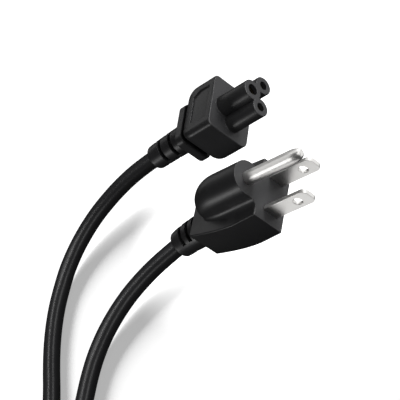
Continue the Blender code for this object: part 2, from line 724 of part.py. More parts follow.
def build_coil():
    """One turned ring that the coil's turns fill."""
    half_width = COIL_LANES * CORD_DIAMETER / 2
    inner = COIL_MEAN_RADIUS - half_width
    outer = COIL_MEAN_RADIUS + half_width
    height = COIL_LAYERS * CORD_DIAMETER
    cut = COIL_EDGE_CUT
    profile = [
        (inner + cut, height),
        (outer - cut, height),
        (outer, height - cut),
        (outer, cut),
        (outer - cut, 0.0),
        (inner + cut, 0.0),
        (inner, cut),
        (inner, height - cut),
    ]
    mesh = bpy.data.meshes.new("cord_coil")
    count = len(profile)
    edges = [(i, (i + 1) % count) for i in range(count)]
    mesh.from_pydata([(r, 0.0, z) for r, z in profile], edges, [])
    coil = add_object("cord_coil", mesh, material=JACKET)
    coil.location = (*COIL_CENTRE, 0.0)
    screw = coil.modifiers.new("turn", "SCREW")
    screw.steps = 48
    screw.render_steps = 48
    screw.use_merge_vertices = True
    screw.merge_threshold = 0.01 * MM
    screw.use_normal_calculate = True
    shade_round(coil)


PLUG_PLACE = (0.0, PLUG_LENGTH / 2, 0.0)
CONNECTOR_ORIGIN = (*CONNECTOR_PLACE, BLOCK_HALF_HEIGHT)
build_plug(add_empty("plug_frame", PLUG_PLACE, 0.0))
build_connector(add_empty("connector_frame", CONNECTOR_ORIGIN, CONNECTOR_YAW))
build_tube("cord_plug_run", cord_start(PLUG_PLACE, 0.0, PLUG_BOOT), PLUG_ROUTE)
build_tube("cord_connector_run", cord_start(CONNECTOR_ORIGIN, CONNECTOR_YAW, CONNECTOR_BOOT), CONNECTOR_ROUTE)
build_coil()
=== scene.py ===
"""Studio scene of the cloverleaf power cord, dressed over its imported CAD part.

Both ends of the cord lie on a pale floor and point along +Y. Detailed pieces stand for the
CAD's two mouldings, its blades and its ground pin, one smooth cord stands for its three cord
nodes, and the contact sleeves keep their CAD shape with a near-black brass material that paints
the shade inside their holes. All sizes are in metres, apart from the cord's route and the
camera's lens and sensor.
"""

import math

import bmesh
import bpy
from mathutils import Matrix, Vector


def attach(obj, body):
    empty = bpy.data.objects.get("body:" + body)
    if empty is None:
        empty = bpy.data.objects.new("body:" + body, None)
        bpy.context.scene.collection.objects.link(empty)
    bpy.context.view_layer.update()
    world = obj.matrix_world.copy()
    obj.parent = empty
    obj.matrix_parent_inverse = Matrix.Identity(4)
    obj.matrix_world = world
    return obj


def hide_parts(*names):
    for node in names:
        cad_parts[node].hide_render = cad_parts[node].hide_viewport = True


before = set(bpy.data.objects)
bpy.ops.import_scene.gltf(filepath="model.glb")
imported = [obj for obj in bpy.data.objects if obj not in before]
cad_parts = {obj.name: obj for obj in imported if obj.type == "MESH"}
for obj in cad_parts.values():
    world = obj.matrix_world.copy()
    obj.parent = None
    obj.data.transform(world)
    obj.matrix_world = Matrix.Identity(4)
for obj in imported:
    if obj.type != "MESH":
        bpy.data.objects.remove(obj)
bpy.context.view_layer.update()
MM = 0.001
QUARTER = math.radians(90)
POLES = ("line", "neutral", "earth")

# Camera, fitted to the photograph; its lens and sensor are in millimetres
CAMERA_TARGET = Vector((-13.481, -23.045, 6.3)) * MM
CAMERA_DISTANCE = 523.02 * MM
CAMERA_RIGHT = Vector((-0.171882, 0.670309, -0.721902))
CAMERA_UP = Vector((-0.812722, 0.317647, 0.488450))
CAMERA_BACK = Vector((0.556722, 0.670661, 0.490177))
CAMERA_LENS = 135.0
CAMERA_SENSOR = 36.0
CAMERA_CLIP_START = 0.01

# Cord, with the points of its axis from each strain relief to the coil in millimetres; they
# are a finer fit to the photograph than the CAD's own route
CORD_DIAMETER = 6.4 * MM
CORD_RADIUS = CORD_DIAMETER / 2
CORD_INSIDE = 1.5 * MM
CORD_STRAIGHT = 4.3 * MM
CORD_SMOOTH_STEPS = 6
CORD_BEVEL_STEPS = 8
PLUG_ROUTE = [
    (7.6, -41.3, 5.8),
    (11.0, -48.4, 5.4),
    (15.3, -55.1, 4.9),
    (20.8, -61.0, 4.3),
    (27.3, -65.7, 3.7),
    (34.7, -68.6, 3.3),
    (42.6, -69.5, 3.2),
    (50.6, -69.3, 3.2),
    (58.5, -68.9, 3.2),
    (64.6, -67.7, 3.2),
    (70.3, -65.1, 3.2),
    (75.4, -61.3, 3.2),
    (80.9, -54.2, 3.2),
]
CONNECTOR_ROUTE = [
    (-39.2, -63.7, 9.3),
    (-37.0, -71.3, 8.7),
    (-34.3, -78.7, 7.8),
    (-30.7, -85.9, 6.8),
    (-25.9, -92.4, 5.7),
    (-19.8, -97.7, 4.7),
    (-12.8, -101.2, 3.9),
    (-5.0, -102.8, 3.3),
    (3.0, -102.8, 3.2),
    (11.0, -101.7, 3.2),
    (18.8, -99.9, 3.2),
    (26.4, -97.6, 3.2),
    (33.9, -94.9, 3.2),
    (41.4, -92.0, 3.2),
    (49.2, -89.3, 3.2),
    (57.1, -87.5, 3.2),
    (66.0, -86.9, 3.6),
    (77.0, -86.8, 4.5),
    (88.0, -86.8, 5.7),
    (96.5, -86.8, 6.8),
    (105.0, -86.8, 7.8),
]

# Coil of spare cord, wound clockwise seen from above
COIL_CENTRE = Vector((130.0, -41.0, 0.0)) * MM
COIL_OUTER = 45.8 * MM
COIL_END_RADIUS = 44.6 * MM
COIL_START_ANGLE = math.radians(180)
COIL_LOWER_TURNS = 3.375
COIL_UPPER_TURNS = 3.375
COIL_CLIMB_TURNS = 0.4
COIL_POINTS_PER_TURN = 16

# Plug body, measured back from its front face
PLUG_LENGTH = 32.0 * MM
PLUG_FACE_HALF_WIDTH = 11.3 * MM
PLUG_WAIST_HALF_WIDTH = 11.9 * MM
PLUG_WAIST_BACK = 9.0 * MM
PLUG_WAIST_REACH = 8.0 * MM
PLUG_TAIL_HALF_WIDTH = 8.4 * MM
PLUG_TAIL_BACK = 31.4 * MM
PLUG_END_HALF_WIDTH = 7.7 * MM
PLUG_THICKNESS = 12.9 * MM
PLUG_EDGE_ROUND = 0.45 * MM

# Blades and ground pin
BLADE_SPACING = 12.7 * MM
BLADE_HEIGHT_ABOVE_FLOOR = 6.0 * MM
BLADE_WIDTH = 6.35 * MM
BLADE_THICKNESS = 1.52 * MM
BLADE_LENGTH = 18.0 * MM
BLADE_TIP_ROUND = 2.2 * MM
BLADE_TIP_STEPS = 6
BLADE_HOLE_RADIUS = 1.7 * MM
BLADE_HOLE_SIDES = 48
BLADE_HOLE_OUT = 12.4 * MM
BLADE_EDGE_ROUND = 0.14 * MM
GROUND_PIN_RISE = 11.9 * MM
GROUND_PIN_RADIUS = 2.35 * MM
GROUND_PIN_LENGTH = 24.2 * MM
GROUND_PIN_TIP = 4.2 * MM
GROUND_PIN_TIP_FLAT = 0.3
GROUND_PIN_HEIGHT = BLADE_HEIGHT_ABOVE_FLOOR + GROUND_PIN_RISE
PIN_ROOT = 7.0 * MM
PIN_FIT = 0.06 * MM

# Round boss over the ground pin
BOSS_RADIUS = 6.2 * MM
BOSS_STRAIGHT = 13.0 * MM
BOSS_LENGTH = 26.6 * MM
BOSS_FLARE = 2.6 * MM
BOSS_FLARE_RISE = 2.2 * MM
BOSS_SINK = 5.0 * MM
BOSS_FOOT_DROP = 0.2 * MM
BOSS_TAIL_SHARE = 0.25
BOSS_TAIL_END = math.radians(84)

# Plug strain relief, bent towards +X the way its cord leaves
PLUG_BOOT_LENGTH = 14.0 * MM
PLUG_BOOT_RADIUS = 5.9 * MM
PLUG_BOOT_END_RADIUS = 5.0 * MM
PLUG_BOOT_TURN = math.radians(20)
PLUG_BOOT_SHIFT = 0.8 * MM
FLOOR_GAP = 0.1 * MM
PLUG_BOOT_START = (PLUG_BOOT_SHIFT, -PLUG_LENGTH, PLUG_BOOT_RADIUS + FLOOR_GAP)
PLUG_BOOT = (PLUG_BOOT_START, PLUG_BOOT_LENGTH, PLUG_BOOT_RADIUS, PLUG_BOOT_END_RADIUS, PLUG_BOOT_TURN)
PLUG_SLOTS = 3
PLUG_SLOT_FIRST = 1.3 * MM
PLUG_SLOT_PITCH = 3.7 * MM
PLUG_SLOT_ARC = math.radians(130)

# Connector body, measured back from the face that carries the nose
CONNECTOR_PLACE = (-45.7 * MM, -11.5 * MM)
CONNECTOR_YAW = math.radians(4.2)
BLOCK_HALF_WIDTH = 11.6 * MM
BLOCK_HALF_HEIGHT = 9.5 * MM
BLOCK_STRAIGHT = 9.6 * MM
BLOCK_LENGTH = 15.2 * MM
BLOCK_TAIL_HALF_WIDTH = 7.6 * MM
BLOCK_TAIL_HALF_HEIGHT = 7.4 * MM
BLOCK_TOP_ROUND = 2.2 * MM
BLOCK_BOTTOM_ROUND = 3.2 * MM
BLOCK_EDGE_ROUND = 0.45 * MM
NECK_LENGTH = 1.8 * MM
NECK_HALF_WIDTH = 7.0 * MM
NECK_HALF_HEIGHT = 6.4 * MM
COLLAR_THICKNESS = 3.7 * MM
COLLAR_HALF_WIDTH = 9.0 * MM
COLLAR_HALF_HEIGHT = 7.4 * MM
COLLAR_CORNER = 2.6 * MM
COLLAR_EDGE_ROUND = 0.6 * MM
PANEL_HALF_WIDTH = 7.6 * MM
PANEL_FRONT = 2.2 * MM
PANEL_BACK = 10.6 * MM
PANEL_DEPTH = 0.5 * MM
PANEL_CORNER_CUT = 3.2 * MM
PANEL_CUT_SHARE = 0.6

# Connector nose and its holes; heights are from the block's middle
NOSE_LENGTH = 14.3 * MM
LIVE_SPACING = 10.0 * MM
LIVE_DROP = 1.3 * MM
EARTH_RISE = 3.25 * MM
LIVE_LOBE_RADIUS = 3.5 * MM
EARTH_LOBE_RADIUS = 3.95 * MM
LIVE_HOLE_RADIUS = 1.6 * MM
EARTH_HOLE_RADIUS = 2.05 * MM
NOSE_EDGE_ROUND = 0.3 * MM
NOSE_WEB_RISE = 1.05 * MM
NOSE_WEB_TOP_SHARE = 0.45
NOSE_WEB_SETBACK = 0.01 * MM
HOLE_DEPTH = 13.0 * MM
SLEEVE_WALL = 0.4 * MM
SLEEVE_CLEARANCE = 0.3 * MM
SLEEVE_SETBACK = 2.0 * MM
SLEEVE_LENGTH = 9.0 * MM

# Connector strain relief: long slots on two sides, short ones between them
BOOT_LENGTH = 19.6 * MM
BOOT_RADIUS = 5.3 * MM
BOOT_END_RADIUS = 4.7 * MM
BOOT_START = (0.0, -BLOCK_LENGTH - NECK_LENGTH - COLLAR_THICKNESS, 0.0)
BOOT_TURN = math.radians(6)
CONNECTOR_BOOT = (BOOT_START, BOOT_LENGTH, BOOT_RADIUS, BOOT_END_RADIUS, BOOT_TURN)
BOOT_SLOT_PAIRS = 2
BOOT_SLOT_FIRST = 6.9 * MM
BOOT_SLOT_PITCH = 5.6 * MM
BOOT_SLOT_ANGLE = math.radians(45)
BOOT_SLOT_ARC = math.radians(124)
BOOT_NOTCH_ARC = math.radians(52)

# Both strain reliefs
SLOT_WIDTH = 1.6 * MM
SLOT_DEPTH = 1.5 * MM
BOOT_END_ROUND = 1.3 * MM
LEAST_TURN = 1e-6

# How far cutters reach past a face and joined solids reach into each other
OVERSHOOT = 2.0 * MM
SINK = 3.0 * MM

# Mesh detail
ROUND_SIDES = 64
WELD_DISTANCE = 0.001 * MM
SHARP_ANGLE = math.radians(32)
NORMAL_WEIGHT = 80

# Places of the two ends, each from its own front face to the shared frame
PLUG_FRAME = Matrix.Translation((0.0, PLUG_LENGTH / 2, 0.0))
CONNECTOR_TURN = Matrix.Rotation(CONNECTOR_YAW, 4, "Z")
CONNECTOR_FRAME = Matrix.Translation((*CONNECTOR_PLACE, BLOCK_HALF_HEIGHT)) @ CONNECTOR_TURN

# Surfaces: noise as scale and detail, gloss and tint as shares of the material's own values
PLASTIC_IOR = 1.5
PLASTIC_CLOUD = (110.0, 5.0)
PLASTIC_GLOSS = (0.85, 1.15)
PLASTIC_TINT = (0.88, 1.12)
PLASTIC_GRAIN_DETAIL = 3.0
PLASTIC_RELIEF = 0.03 * MM
EDGE_SAMPLES = 6
METAL_CLOUD = (260.0, 4.0)
METAL_GLOSS = (0.75, 1.35)
METAL_TINT = (0.92, 1.0)
METAL_BRUSH = (1.0, 3.0)
METAL_BRUSH_STRETCH = (1500.0, 40.0, 1500.0)
METAL_BUMP = 0.12
METAL_RELIEF = 0.01 * MM

# Floor and surroundings
FLOOR_HALF_SIZE = 3.0
FLOOR_COLOUR = (0.85, 0.85, 0.85)
FLOOR_ROUGHNESS = 0.9
FLOOR_GLOW = 0.42
WORLD_STRENGTH = 0.03
WHITE = (1.0, 1.0, 1.0, 1.0)

# Soft studio cards: name, place, width and height in metres, power in watts
MOULDING_AIM = (-0.015, -0.010, 0.010)
MOULDING_CARDS = [
    ("front_left", (-0.45, 0.80, 0.12), (0.60, 0.30), 10.0),
    ("front_low", (-0.55, 0.66, -0.48), (0.70, 0.70), 1.5),
    ("front_right", (0.15, 0.85, 0.22), (0.90, 0.40), 6.5),
    ("side_strip", (0.70, -0.65, 0.07), (0.34, 0.11), 2.6),
    ("back_high", (-0.55, -0.66, 0.48), (0.50, 0.40), 0.6),
    ("overhead", (0.0, 0.0, 0.95), (0.70, 0.70), 1.5),
]
METAL_AIM = (0.0, 0.028, 0.010)
METAL_CARDS = [
    ("metal_sky", (0.05, -0.60, 0.75), (0.90, 0.60), 1.3),
    ("metal_band", (0.77, -0.63, 0.12), (0.45, 0.30), 0.7),
    ("metal_under", (0.50, -0.60, -0.50), (0.90, 0.90), 2.2),
    ("metal_left", (-0.80, 0.40, 0.30), (1.10, 1.10), 6.0),
    ("metal_left_low", (-0.58, 0.61, -0.52), (0.90, 0.90), 2.4),
    ("metal_corner", (0.66, -0.63, 0.41), (0.50, 0.40), 1.3),
    ("metal_over", (-0.35, -0.05, 0.85), (0.80, 0.80), 1.6),
    ("metal_front", (0.10, 0.78, 0.42), (1.20, 1.10), 5.0),
    ("metal_front_low", (0.15, 0.75, -0.60), (0.90, 0.90), 2.0),
]
PIN_CARDS = [
    ("pin_back", (-0.70, -0.70, 0.22), (0.80, 0.80), 0.8),
]
CORD_AIM = (0.0, -0.080, 0.005)
CORD_CARDS = [
    ("cord_overhead", (0.0, -0.08, 0.95), (0.70, 0.70), 2.6),
]
# Long narrow strips: name, both ends as directions from the cord, and brightness
CORD_STRIP_WIDTH = 0.07
CORD_STRIPS = [
    ("strip_high_back", (-0.72, -0.25, 0.66), (0.05, 0.37, 0.92), 11.0),
    ("strip_high_front", (0.05, 0.37, 0.92), (0.39, -0.37, 0.84), 11.0),
    ("strip_low_back", (-0.92, 0.27, 0.28), (0.36, 0.90, 0.12), 7.0),
    ("strip_low_front", (0.36, 0.90, 0.12), (0.96, -0.19, 0.16), 7.0),
]

# The key that draws the cord's shadow, and a spot that fades it near the two ends
FLOOR_AIM = (-0.010, -0.060, 0.0)
FLOOR_KEY = ("floor_key", (-1.27, -1.35, 0.75), (0.80, 0.80), 86.0)
FLOOR_FILL_PLACE = (-0.024, -0.006, 0.50)
FLOOR_FILL_CONE = math.radians(15)
FLOOR_FILL_BLEND = 0.6
FLOOR_FILL_POWER = 7.0


def new_material(name):
    """A material with its node tree and its Principled shader."""
    material = bpy.data.materials.new(name)
    material.use_nodes = True
    return material, material.node_tree, material.node_tree.nodes["Principled BSDF"]


def add_noise(tree, vector, scale, detail):
    """The value of a noise texture on the given coordinates."""
    texture = tree.nodes.new("ShaderNodeTexNoise")
    texture.inputs["Scale"].default_value = scale
    texture.inputs["Detail"].default_value = detail
    tree.links.new(vector, texture.inputs["Vector"])
    return texture.outputs["Fac"]


def add_clouds(tree, shader, cloud, roughness, gloss, colour, tint):
    """Slow changes in gloss and colour that follow a noise value."""
    rough = tree.nodes.new("ShaderNodeMapRange")
    rough.inputs["To Min"].default_value = roughness * gloss[0]
    rough.inputs["To Max"].default_value = roughness * gloss[1]
    tree.links.new(cloud, rough.inputs["Value"])
    tree.links.new(rough.outputs["Result"], shader.inputs["Roughness"])
    shade = tree.nodes.new("ShaderNodeMix")
    shade.data_type = "RGBA"
    for socket, share in zip(("A", "B"), tint):
        shade.inputs[socket].default_value = (*[channel * share for channel in colour], 1.0)
    tree.links.new(cloud, shade.inputs["Factor"])
    tree.links.new(shade.outputs["Result"], shader.inputs["Base Color"])


def add_relief(tree, shader, height, strength, distance):
    """Fine relief that follows a noise value, and the node that makes it."""
    relief = tree.nodes.new("ShaderNodeBump")
    relief.inputs["Strength"].default_value = strength
    relief.inputs["Distance"].default_value = distance
    tree.links.new(height, relief.inputs["Height"])
    tree.links.new(relief.outputs["Normal"], shader.inputs["Normal"])
    return relief


def plastic(name, colour, roughness, grain, bump, specular, edge):
    """Moulded plastic: fine grain in its bump, slow changes in gloss and colour, soft edges."""
    material, tree, shader = new_material(name)
    shader.inputs["IOR"].default_value = PLASTIC_IOR
    shader.inputs["Specular IOR Level"].default_value = specular
    place = tree.nodes.new("ShaderNodeTexCoord").outputs["Object"]
    fine = add_noise(tree, place, grain, PLASTIC_GRAIN_DETAIL)
    cloud = add_noise(tree, place, *PLASTIC_CLOUD)
    add_clouds(tree, shader, cloud, roughness, PLASTIC_GLOSS, colour, PLASTIC_TINT)
    relief = add_relief(tree, shader, fine, bump, PLASTIC_RELIEF)
    if edge:
        soften = tree.nodes.new("ShaderNodeBevel")
        soften.samples = EDGE_SAMPLES
        soften.inputs["Radius"].default_value = edge
        tree.links.new(soften.outputs["Normal"], relief.inputs["Normal"])
    return material


def plated(name, colour, roughness):
    """Plated metal with faint lengthwise brushing and slow cloudiness."""
    material, tree, shader = new_material(name)
    shader.inputs["Metallic"].default_value = 1.0
    place = tree.nodes.new("ShaderNodeTexCoord").outputs["Object"]
    stretch = tree.nodes.new("ShaderNodeMapping")
    stretch.inputs["Scale"].default_value = METAL_BRUSH_STRETCH
    tree.links.new(place, stretch.inputs["Vector"])
    brush = add_noise(tree, stretch.outputs["Vector"], *METAL_BRUSH)
    cloud = add_noise(tree, place, *METAL_CLOUD)
    add_clouds(tree, shader, cloud, roughness, METAL_GLOSS, colour, METAL_TINT)
    add_relief(tree, shader, brush, METAL_BUMP, METAL_RELIEF)
    return material


BODY = plastic(
    "moulded_black",
    colour=(0.018, 0.018, 0.019),
    roughness=0.42,
    grain=5200.0,
    bump=0.30,
    specular=0.35,
    edge=0.32 * MM,
)
JACKET = plastic(
    "cord_black",
    colour=(0.016, 0.016, 0.017),
    roughness=0.32,
    grain=3800.0,
    bump=0.07,
    specular=0.35,
    edge=0.0,
)
NICKEL = plated("nickel_bright", colour=(0.86, 0.85, 0.83), roughness=0.34)
# The sleeves' brass is darkened almost to black: painted shade for the depth of the holes they sit in.
SLEEVE_PAINTED_SHADE = plated("sleeve_brass_painted_shade", colour=(0.07, 0.06, 0.04), roughness=0.42)


def link(obj):
    """Puts an object into the scene."""
    bpy.context.scene.collection.objects.link(obj)
    return obj


def smooth_route(points, steps):
    """Fine points on a smooth curve through the given ones, whatever their spacing."""
    gaps = [(b - a).length for a, b in zip(points, points[1:])]
    slopes = [(points[1] - points[0]) / gaps[0]]
    for i in range(1, len(points) - 1):
        before = (points[i] - points[i - 1]) / gaps[i - 1]
        after = (points[i + 1] - points[i]) / gaps[i]
        slopes.append((before * gaps[i] + after * gaps[i - 1]) / (gaps[i] + gaps[i - 1]))
    slopes.append((points[-1] - points[-2]) / gaps[-1])
    fine = []
    for i, gap in enumerate(gaps):
        a, b = points[i], points[i + 1]
        for step in range(steps):
            t = step / steps
            bend = (slopes[i] * (1 - t) - slopes[i + 1] * t) * gap - (b - a) * (1 - 2 * t)
            fine.append(a.lerp(b, t) + bend * t * (1 - t))
    fine.append(points[-1])
    return fine


def quarter_round(radius, steps):
    """Points of a rounded edge, each as its distances from the two faces that the edge joins."""
    angles = [QUARTER * i / steps for i in range(steps + 1)]
    return [(radius * (1 - math.sin(angle)), radius * (1 - math.cos(angle))) for angle in angles]


def boot_place(start, length, turn, along):
    """Point and heading on the axis of a strain relief, a distance along from its start."""
    heading = turn * max(0.0, along) / length
    if heading < LEAST_TURN:
        return Vector((start[0], start[1] - along, start[2])), 0.0
    bend = length / turn
    x = start[0] + bend * (1 - math.cos(heading))
    y = start[1] - bend * math.sin(heading)
    return Vector((x, y, start[2])), heading


def cord_start(frame_place, boot):
    """First points of the cord: a little inside its strain relief, then straight on from it."""
    start, length, _, _, turn = boot
    end, heading = boot_place(start, length, turn, length)
    away = Vector((math.sin(heading), -math.cos(heading), 0.0))
    return [frame_place @ (end + away * reach) for reach in (-CORD_INSIDE, CORD_STRAIGHT)]


def coil_points():
    """The lower layer spirals inwards, and the upper one spirals back out over it."""
    points = []
    inner = COIL_OUTER - CORD_DIAMETER * COIL_LOWER_TURNS
    for i in range(round(COIL_LOWER_TURNS * COIL_POINTS_PER_TURN) + 1):
        turn = i / COIL_POINTS_PER_TURN
        points.append((turn, COIL_OUTER - CORD_DIAMETER * turn, CORD_RADIUS))
    for i in range(1, round(COIL_UPPER_TURNS * COIL_POINTS_PER_TURN) + 1):
        turn = i / COIL_POINTS_PER_TURN
        share = min(1.0, turn / COIL_CLIMB_TURNS)
        rise = CORD_DIAMETER * share * share * (3 - 2 * share)
        grown = max(0.0, turn - COIL_CLIMB_TURNS) / (COIL_UPPER_TURNS - COIL_CLIMB_TURNS)
        radius = inner + (COIL_END_RADIUS - inner) * grown
        points.append((COIL_LOWER_TURNS + turn, radius, CORD_RADIUS + rise))
    placed = []
    for turn, radius, height in points:
        angle = COIL_START_ANGLE - 2 * math.pi * turn
        across = Vector((radius * math.cos(angle), radius * math.sin(angle), height))
        placed.append(COIL_CENTRE + across)
    return placed


def cord_route():
    """The whole cord, from the plug through the coil to the connector."""
    outward = cord_start(PLUG_FRAME, PLUG_BOOT)
    outward += [Vector(point) * MM for point in PLUG_ROUTE]
    homeward = cord_start(CONNECTOR_FRAME, CONNECTOR_BOOT)
    homeward += [Vector(point) * MM for point in CONNECTOR_ROUTE]
    return outward + coil_points() + list(reversed(homeward))


def build_cord():
    """One round cord swept along the whole route."""
    curve = bpy.data.curves.new("cord", "CURVE")
    curve.dimensions = "3D"
    curve.bevel_depth = CORD_RADIUS
    curve.bevel_resolution = CORD_BEVEL_STEPS
    curve.use_fill_caps = True
    route = cord_route()
    fine = smooth_route(route, CORD_SMOOTH_STEPS)
    spline = curve.splines.new("POLY")
    spline.points.add(len(fine) - 1)
    for slot, point in zip(spline.points, fine):
        slot.co = (*point, 1.0)
    spline.use_smooth = True
    curve.materials.append(JACKET)
    cord = link(bpy.data.objects.new("cord", curve))
    length = sum((b - a).length for a, b in zip(fine, fine[1:]))
    print("cord", round(length, 4), "m,", len(route), "points")
    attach(cord, "root")
    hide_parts("cord_plug_run", "cord_connector_run", "cord_coil")
    return cord


def mesh_from(name, bm):
    """A mesh with its faces turned outwards, and the BMesh freed."""
    bmesh.ops.recalc_face_normals(bm, faces=bm.faces)
    mesh = bpy.data.meshes.new(name)
    bm.to_mesh(mesh)
    bm.free()
    return mesh


def loft_mesh(name, rings):
    """One closed skin through rings that hold the same number of points."""
    bm = bmesh.new()
    loops = [[bm.verts.new(point) for point in ring] for ring in rings]
    count = len(rings[0])
    for near, far in zip(loops, loops[1:]):
        for i in range(count):
            j = (i + 1) % count
            bm.faces.new((near[i], near[j], far[j], far[i]))
    bm.faces.new(loops[0])
    bm.faces.new(reversed(loops[-1]))
    return mesh_from(name, bm)


def lathe_mesh(name, stations, x=0.0, z=0.0):
    """A round solid along Y through stations of depth and radius."""
    rings = []
    for y, radius in stations:
        ring = []
        for i in range(ROUND_SIDES):
            angle = 2 * math.pi * i / ROUND_SIDES
            ring.append((x + radius * math.cos(angle), y, z + radius * math.sin(angle)))
        rings.append(ring)
    return loft_mesh(name, rings)


def outline_mesh(name, outlines, thickness, edge_round=0.0, edge_steps=4):
    """Flat outlines in X and Y, the later ones holes, extruded up from z = 0 with rounded edges."""
    curve = bpy.data.curves.new(name, "CURVE")
    curve.dimensions = "2D"
    curve.fill_mode = "BOTH"
    curve.extrude = thickness / 2 - edge_round
    curve.bevel_depth = edge_round
    curve.bevel_resolution = edge_steps
    curve.offset = -edge_round
    for outline in outlines:
        spline = curve.splines.new("POLY")
        spline.points.add(len(outline) - 1)
        for slot, (x, y) in zip(spline.points, outline):
            slot.co = (x, y, 0.0, 1.0)
        spline.use_cyclic_u = True
    source = link(bpy.data.objects.new(name + "_outline", curve))
    bpy.context.view_layer.update()
    mesh = bpy.data.meshes.new_from_object(source.evaluated_get(bpy.context.evaluated_depsgraph_get()))
    bpy.data.objects.remove(source, do_unlink=True)
    bpy.data.curves.remove(curve)
    bm = bmesh.new()
    bm.from_mesh(mesh)
    bpy.data.meshes.remove(mesh)
    bmesh.ops.remove_doubles(bm, verts=bm.verts, dist=WELD_DISTANCE)
    bmesh.ops.translate(bm, verts=bm.verts, vec=(0.0, 0.0, thickness / 2))
    return mesh_from(name, bm)


def rounded_rectangle(half_width, half_height, radii, y, steps=8):
    """Ring in X and Z at a depth y. radii: top right, top left, bottom left, bottom right."""
    corners = [(1, 1), (-1, 1), (-1, -1), (1, -1)]
    ring = []
    for quarter, ((side, up), radius) in enumerate(zip(corners, radii)):
        centre_x = side * (half_width - radius)
        centre_z = up * (half_height - radius)
        for step in range(steps + 1):
            angle = QUARTER * (quarter + step / steps)
            ring.append((centre_x + radius * math.cos(angle), y, centre_z + radius * math.sin(angle)))
    return ring


def carve(name, mesh, steps):
    """Applies a list of boolean steps, each an operation and a mesh, and returns one mesh."""
    body = link(bpy.data.objects.new(name, mesh))
    helpers = []
    for i, (operation, shape) in enumerate(steps):
        helper = link(bpy.data.objects.new(f"{name}_helper_{i}", shape))
        helpers.append(helper)
        modifier = body.modifiers.new(f"step_{i}", "BOOLEAN")
        modifier.operation = operation
        modifier.solver = "EXACT"
        modifier.object = helper
    bpy.context.view_layer.update()
    result = bpy.data.meshes.new_from_object(body.evaluated_get(bpy.context.evaluated_depsgraph_get()))
    for obj in (body, *helpers):
        data = obj.data
        bpy.data.objects.remove(obj, do_unlink=True)
        bpy.data.meshes.remove(data)
    result.name = name
    return result


def place_piece(name, mesh, place, material, node):
    """Puts a finished mesh where the CAD node lies, smooth but with its real edges kept."""
    mesh.transform(place)
    mesh.shade_smooth()
    mesh.set_sharp_from_angle(angle=SHARP_ANGLE)
    mesh.materials.clear()
    mesh.materials.append(material)
    piece = link(bpy.data.objects.new(name, mesh))
    weigh = piece.modifiers.new("even_normals", "WEIGHTED_NORMAL")
    weigh.weight = NORMAL_WEIGHT
    weigh.keep_sharp = True
    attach(piece, "root")
    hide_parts(node)
    return piece


def plug_outline():
    """Plan of the plug's base, from its face at y = 0 back to the strain relief."""
    waist = Vector((PLUG_WAIST_HALF_WIDTH, -PLUG_WAIST_BACK))
    bend = Vector((PLUG_WAIST_HALF_WIDTH, -PLUG_WAIST_BACK - PLUG_WAIST_REACH))
    tail = Vector((PLUG_TAIL_HALF_WIDTH, -PLUG_TAIL_BACK))
    right = [(PLUG_FACE_HALF_WIDTH, 0.0), tuple(waist)]
    steps = 16
    for step in range(1, steps + 1):
        t = step / steps
        point = waist * (1 - t) ** 2 + bend * (2 * t * (1 - t)) + tail * t**2
        right.append(tuple(point))
    right.append((PLUG_END_HALF_WIDTH, -PLUG_LENGTH))
    left = [(-x, y) for x, y in reversed(right)]
    return right + left


def boss_ring(back):
    """Section of the boss at a share of its rounded tail: a round top that flares into the base."""
    y = -BOSS_STRAIGHT - (BOSS_LENGTH - BOSS_STRAIGHT) * back
    shrink = math.sqrt(1 - back * back)
    foot = PLUG_THICKNESS - BOSS_FOOT_DROP
    top = GROUND_PIN_HEIGHT + BOSS_RADIUS
    crown = foot + (top - foot) * shrink
    half = BOSS_RADIUS * (BOSS_TAIL_SHARE + (1 - BOSS_TAIL_SHARE) * shrink)
    middle = max(crown - half, foot + 2 * BOSS_FOOT_DROP)
    crown = max(crown, middle + BOSS_FOOT_DROP)
    ring = []
    steps = 32
    for step in range(steps + 1):
        angle = math.pi * step / steps
        ring.append((half * math.cos(angle), y, middle + (crown - middle) * math.sin(angle)))
    flare = BOSS_FLARE * shrink
    rise = min(BOSS_FLARE_RISE * shrink + BOSS_FOOT_DROP, middle - foot - BOSS_FOOT_DROP)
    left = [(-half - flare * out, y, foot + rise * up) for up, out in quarter_round(1.0, 8)]
    left.append((-half - flare, y, PLUG_THICKNESS - BOSS_SINK))
    right = [(-x, y, z) for x, y, z in reversed(left)]
    return ring + left + right


def boss_mesh():
    """The boss, straight from the plug's face and then round at its tail."""
    front = [(x, 0.0, z) for x, _, z in boss_ring(0.0)]
    steps = 24
    tail = [boss_ring(math.sin(BOSS_TAIL_END * i / steps)) for i in range(steps + 1)]
    return loft_mesh("plug_boss", [front, *tail])


def boot_ring(start, length, turn, along, points):
    """Ring of points given across and above the axis, square to it at a distance along."""
    centre, heading = boot_place(start, length, turn, along)
    side = Vector((math.cos(heading), math.sin(heading), 0.0))
    return [tuple(centre + side * across + Vector((0.0, 0.0, up))) for across, up in points]


def boot_mesh(name, start, length, radius, end_radius, turn):
    """Strain relief that tapers towards the cord, with a rounded end."""
    rounding = [(length - ahead, end_radius - drop) for ahead, drop in quarter_round(BOOT_END_ROUND, 6)]
    stations = [(-SINK, radius), (0.0, radius)]
    steps = 12
    for i in range(1, steps):
        along = (length - BOOT_END_ROUND) * i / steps
        stations.append((along, radius + (end_radius - radius) * along / length))
    rings = []
    for along, size in stations + rounding:
        angles = [2 * math.pi * i / ROUND_SIDES for i in range(ROUND_SIDES)]
        points = [(size * math.cos(angle), size * math.sin(angle)) for angle in angles]
        rings.append(boot_ring(start, length, turn, along, points))
    return loft_mesh(name, rings)


